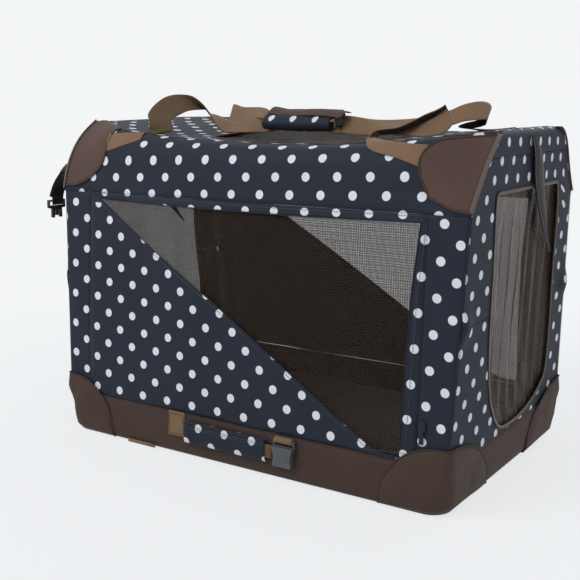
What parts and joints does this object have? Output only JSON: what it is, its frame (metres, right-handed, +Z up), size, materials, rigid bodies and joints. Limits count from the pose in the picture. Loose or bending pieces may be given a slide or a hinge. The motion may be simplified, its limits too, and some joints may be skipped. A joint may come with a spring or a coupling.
{
  "type": "pet carrier",
  "caption": "Folding soft-sided pet carrier with mesh doors, corner patches, carry handles and a folding tube frame.",
  "frame": {"origin": "on the floor, under the middle of the base", "axes": "+X to the right end along the long side, -Y to the front, +Z up"},
  "size_m": [0.6573, 0.3842, 0.4702],
  "materials": {
    "shell_fabric": "navy woven polyester with pale dots",
    "patch_fabric": "brown woven polyester",
    "band_fabric": "dark brown woven polyester",
    "mesh_fabric": "fine brown mesh",
    "tan_webbing": "ribbed webbing",
    "dark_webbing": "ribbed webbing",
    "mat_fleece": "fleece",
    "floor_board": "matte board",
    "frame_steel": "powder coat",
    "pin_steel": "zinc plated",
    "clip_plastic": "moulded",
    "buckle_grey": "moulded",
    "buckle_black": "moulded",
    "slider_metal": "black lacquer"
  },
  "bodies": {
    "base": {"base_tray": "band_fabric", "base_frame_tube": "frame_steel", "floor_board": "floor_board", "floor_mat": "mat_fleece", "base_clip_front_left": "clip_plastic", "base_clip_front_right": "clip_plastic", "base_clip_back_left": "clip_plastic", "base_clip_back_right": "clip_plastic", "front_side_left": "shell_fabric", "front_side_right": "shell_fabric", "front_shoulder": "shell_fabric", "back_side_left": "shell_fabric", "back_side_right": "shell_fabric", "back_shoulder": "shell_fabric", "upper_patch_front_left": "patch_fabric", "upper_patch_front_right": "patch_fabric", "upper_patch_back_left": "patch_fabric", "upper_patch_back_right": "patch_fabric", "lower_patch_front_left": "patch_fabric", "lower_patch_front_right": "patch_fabric", "lower_patch_back_left": "patch_fabric", "lower_patch_back_right": "patch_fabric", "front_handle_tab": "tan_webbing", "buckle_loop": "tan_webbing"},
    "front_door": {"front_door_panel": "shell_fabric", "front_door_mesh": "mesh_fabric"},
    "back_door": {"back_door_panel": "shell_fabric", "back_door_mesh": "mesh_fabric"},
    "left_lower": {"left_lower_hoop": "frame_steel", "left_end_lower": "shell_fabric"},
    "left_upper": {"left_upper_hoop": "frame_steel", "left_end_upper": "shell_fabric", "knee_pin_front_left": "pin_steel", "knee_pin_back_left": "pin_steel", "tie_strap_left": "dark_webbing"},
    "left_door": {"left_door_mesh": "mesh_fabric"},
    "right_lower": {"right_lower_hoop": "frame_steel", "right_end_lower": "shell_fabric"},
    "right_upper": {"right_upper_hoop": "frame_steel", "right_end_upper": "shell_fabric", "knee_pin_front_right": "pin_steel", "knee_pin_back_right": "pin_steel", "tie_strap_right": "dark_webbing"},
    "right_door": {"right_door_mesh": "mesh_fabric"},
    "top": {"top_frame_tube": "frame_steel", "top_panel": "shell_fabric", "top_window_mesh": "mesh_fabric", "top_clip_front_left": "clip_plastic", "top_clip_front_right": "clip_plastic", "top_clip_back_left": "clip_plastic", "top_clip_back_right": "clip_plastic"},
    "carry_handle": {"carry_handle_front": "tan_webbing", "carry_handle_back": "tan_webbing", "grip_wrap": "shell_fabric"},
    "front_handle": {"front_handle_sleeve": "shell_fabric"},
    "buckle": {"buckle_female": "buckle_grey"},
    "side_strap": {"side_strap_webbing": "tan_webbing"},
    "strap_buckle": {"buckle_male": "buckle_black"},
    "front_slider": {"front_zip_slider": "slider_metal"},
    "back_slider": {"back_zip_slider": "slider_metal"}
  },
  "joints": [
    {"name": "fold", "type": "hinge", "parent": "base", "child": "left_lower", "pos_m": [-0.2811, 0, 0.04], "axis": [0, 1, 0], "range_deg": [0, 90], "deforming": ["front_side_left", "front_side_right", "front_shoulder", "back_side_left", "back_side_right", "back_shoulder", "upper_patch_front_left", "upper_patch_front_right", "upper_patch_back_left", "upper_patch_back_right", "front_door_panel", "front_door_mesh", "back_door_panel", "back_door_mesh", "left_door_mesh", "right_door_mesh"]},
    {"name": "left_knee", "type": "hinge", "parent": "left_lower", "child": "left_upper", "pos_m": [-0.30262, 0, 0.21875], "axis": [0, -1, 0], "range_deg": [0, 180]},
    {"name": "left_top_pivot", "type": "hinge", "parent": "left_upper", "child": "top", "pos_m": [-0.2811, 0, 0.3975], "axis": [0, 1, 0], "range_deg": [0, 90]},
    {"name": "right_base_pivot", "type": "hinge", "parent": "base", "child": "right_lower", "pos_m": [0.2811, 0, 0.04], "axis": [0, -1, 0], "range_deg": [0, 90]},
    {"name": "right_knee", "type": "hinge", "parent": "right_lower", "child": "right_upper", "pos_m": [0.30262, 0, 0.21875], "axis": [0, 1, 0], "range_deg": [0, 180]},
    {"name": "front_door_hinge", "type": "hinge", "parent": "base", "child": "front_door", "pos_m": [0, -0.16624, 0.34], "axis": [1, 0, 0], "range_deg": [-100, 0]},
    {"name": "back_door_hinge", "type": "hinge", "parent": "base", "child": "back_door", "pos_m": [0, 0.16624, 0.34], "axis": [-1, 0, 0], "range_deg": [-100, 0]},
    {"name": "left_door_hinge", "type": "hinge", "parent": "left_upper", "child": "left_door", "pos_m": [-0.30751, 0, 0.362], "axis": [0, -1, 0], "range_deg": [-100, 0], "deforming": ["tie_strap_left"]},
    {"name": "right_door_hinge", "type": "hinge", "parent": "right_upper", "child": "right_door", "pos_m": [0.30751, 0, 0.362], "axis": [0, 1, 0], "range_deg": [-100, 0], "deforming": ["tie_strap_right"]},
    {"name": "carry_handle_lift", "type": "slide", "parent": "top", "child": "carry_handle", "axis": [0, 0, 1], "range_m": [0, 0.04], "deforming": ["carry_handle_front", "carry_handle_back"]},
    {"name": "front_handle_hinge", "type": "hinge", "parent": "base", "child": "front_handle", "pos_m": [0, -0.18695, 0.05], "axis": [1, 0, 0], "range_deg": [-90, 0]},
    {"name": "buckle_hinge", "type": "hinge", "parent": "base", "child": "buckle", "pos_m": [0.0795, -0.18845, 0.0528], "axis": [1, 0, 0], "range_deg": [-90, 0]},
    {"name": "side_strap_swing", "type": "hinge", "parent": "top", "child": "side_strap", "pos_m": [-0.3088, -0.1301, 0.3816], "axis": [0, 1, 0], "range_deg": [0, 30]},
    {"name": "strap_buckle_hinge", "type": "hinge", "parent": "side_strap", "child": "strap_buckle", "pos_m": [-0.342, -0.151, 0.3232], "axis": [0, 1, 0], "range_deg": [-40, 60]},
    {"name": "front_slider_path", "type": "slide", "parent": "base", "child": "front_slider", "axis": [0, -0.0609, -0.9981], "range_m": [-0.225, 0]},
    {"name": "back_slider_path", "type": "slide", "parent": "base", "child": "back_slider", "axis": [0, 0.0609, -0.9981], "range_m": [-0.225, 0]}
  ],
  "couplings": [
    {"joint": "left_knee", "follows": "fold", "ratio": 2},
    {"joint": "left_top_pivot", "follows": "fold", "ratio": 1},
    {"joint": "right_base_pivot", "follows": "fold", "ratio": 1},
    {"joint": "right_knee", "follows": "fold", "ratio": 2},
    {"joint": "side_strap_swing", "follows": "fold", "ratio": 0.3333}
  ]
}
